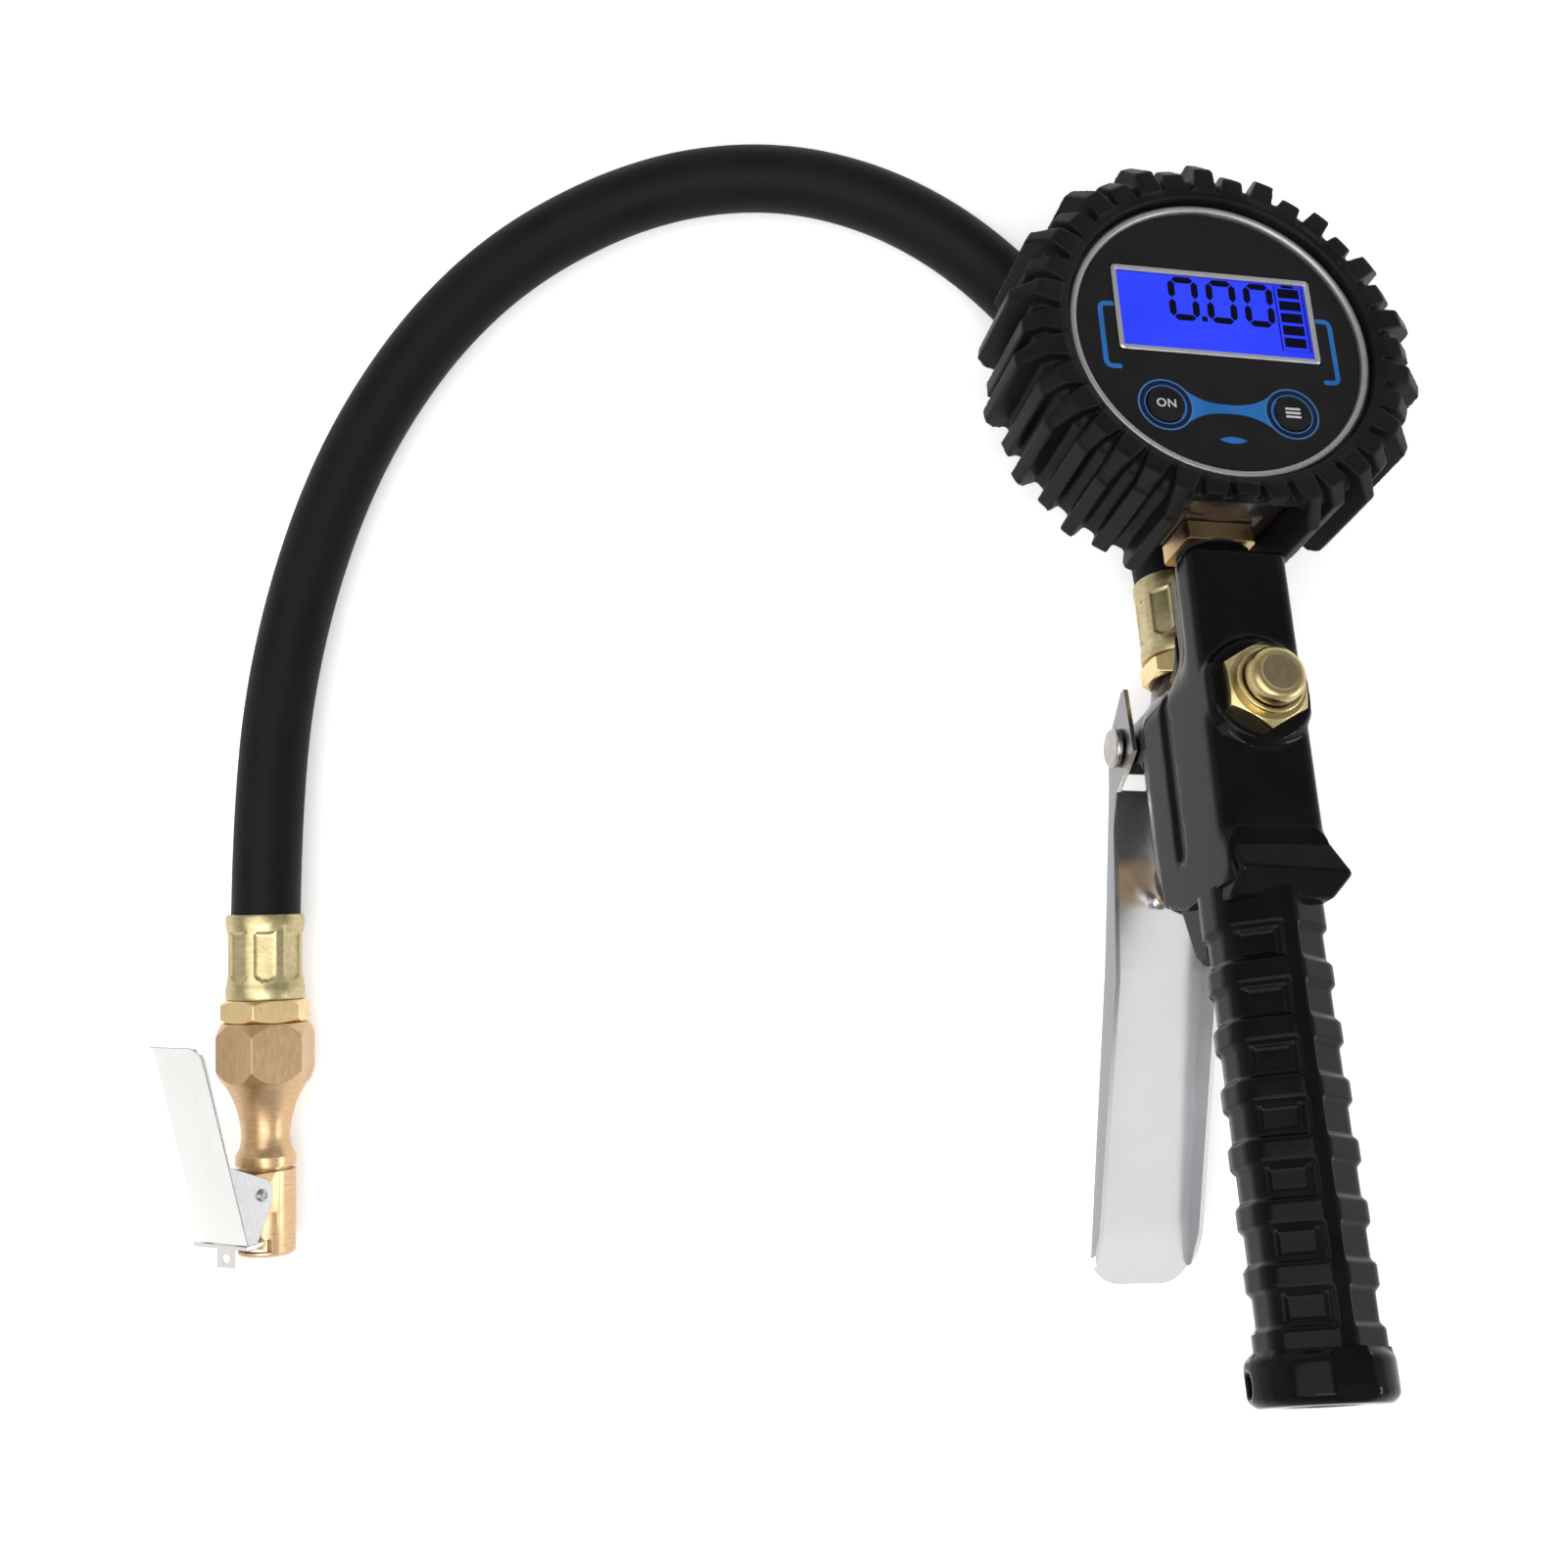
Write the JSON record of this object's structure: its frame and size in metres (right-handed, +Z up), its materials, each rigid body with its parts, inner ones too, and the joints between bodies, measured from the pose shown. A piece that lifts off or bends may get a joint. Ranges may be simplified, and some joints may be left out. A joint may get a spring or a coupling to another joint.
{
  "type": "tyre inflator",
  "caption": "Tyre inflator gun with a digital gauge in a treaded rubber boot, a ribbed grip with trigger lever, a bleed button, and a short hose with a clip-on air chuck.",
  "frame": {"origin": "under the middle of the gun's bounding box, on the table that the tool lies on", "axes": "+Z up from the table, +Y along the gun from the inlet towards the gauge, +X to the right seen from above, with the hose and chuck on the left"},
  "size_m": [0.2421, 0.2405, 0.0893],
  "materials": {
    "black_casting": "glossy",
    "boot_rubber": "matt",
    "black_plastic": "matt",
    "face_print": "glossy",
    "silver_plastic": "polished",
    "display_blue": "glossy",
    "button_black": "glossy",
    "board_green": "matt",
    "cell_steel": "brushed",
    "brass": "machined",
    "brass_plated": "satin",
    "lever_chrome": "polished",
    "clip_steel": "satin",
    "spring_steel": "drawn",
    "seal_rubber": "matt",
    "hose_rubber": "satin"
  },
  "bodies": {
    "gun": {"gauge_boot": "boot_rubber", "gauge_case": "black_plastic", "battery_cap": "black_plastic", "battery_cell": "cell_steel", "bezel_ring": "silver_plastic", "face_panel": "face_print", "lcd_frame": "silver_plastic", "lcd_screen": "display_blue", "lcd_module": "black_plastic", "circuit_board": "board_green", "pressure_sensor": "cell_steel", "gauge_stem": "brass", "stem_seal": "seal_rubber", "body_casting": "black_casting", "bleed_nut": "brass_plated", "bleed_spring": "spring_steel", "lever_pin": "clip_steel", "valve_nut": "brass", "valve_spring": "spring_steel", "hose_fitting": "brass", "gun_ferrule": "brass_plated", "hose": "hose_rubber", "chuck_fitting": "brass", "chuck_ferrule": "brass_plated", "chuck_body": "brass", "chuck_seal": "seal_rubber", "chuck_depressor": "brass", "clip_pin": "clip_steel", "clip_spring": "spring_steel"},
    "lever": {"trigger_lever": "lever_chrome"},
    "valve": {"valve_stem": "clip_steel", "valve_seal": "seal_rubber"},
    "bleeder": {"bleed_button": "brass_plated", "bleed_seal": "seal_rubber"},
    "on_key": {"on_button": "button_black"},
    "function_key": {"function_button": "button_black"},
    "clip": {"clip_lever": "clip_steel", "clip_jaw": "clip_steel"}
  },
  "joints": [
    {"name": "trigger_pull", "type": "hinge", "parent": "gun", "child": "lever", "pos_m": [-0.00375, -0.00047, 0.01585], "axis": [-0.9798, 0.0191, 0.199], "range_deg": [0, 12], "stiffness_Nm_per_rad": 3, "springref_deg": -17.19},
    {"name": "valve_push", "type": "slide", "parent": "gun", "child": "valve", "axis": [0.1959, 0.2912, 0.9364], "range_m": [0, 0.0065], "deforming": ["valve_spring"]},
    {"name": "bleed_press", "type": "slide", "parent": "gun", "child": "bleeder", "axis": [-0.1959, -0.2912, -0.9364], "range_m": [0, 0.0012], "stiffness_N_per_m": 1500, "springref_m": -0.002, "deforming": ["bleed_spring"]},
    {"name": "on_press", "type": "slide", "parent": "gun", "child": "on_key", "axis": [-0.1959, -0.2912, -0.9364], "range_m": [0, 0.0004], "stiffness_N_per_m": 1200, "springref_m": -0.0004},
    {"name": "function_press", "type": "slide", "parent": "gun", "child": "function_key", "axis": [-0.1959, -0.2912, -0.9364], "range_m": [0, 0.0004], "stiffness_N_per_m": 1200, "springref_m": -0.0004},
    {"name": "clip_squeeze", "type": "hinge", "parent": "gun", "child": "clip", "pos_m": [-0.18646, -0.08708, 0.01631], "axis": [-0.8659, -0.0182, -0.4999], "range_deg": [0, 12], "stiffness_Nm_per_rad": 0.6, "springref_deg": -11.46}
  ],
  "couplings": [
    {"joint": "valve_push", "follows": "trigger_pull", "m_per_rad": 0.031}
  ]
}
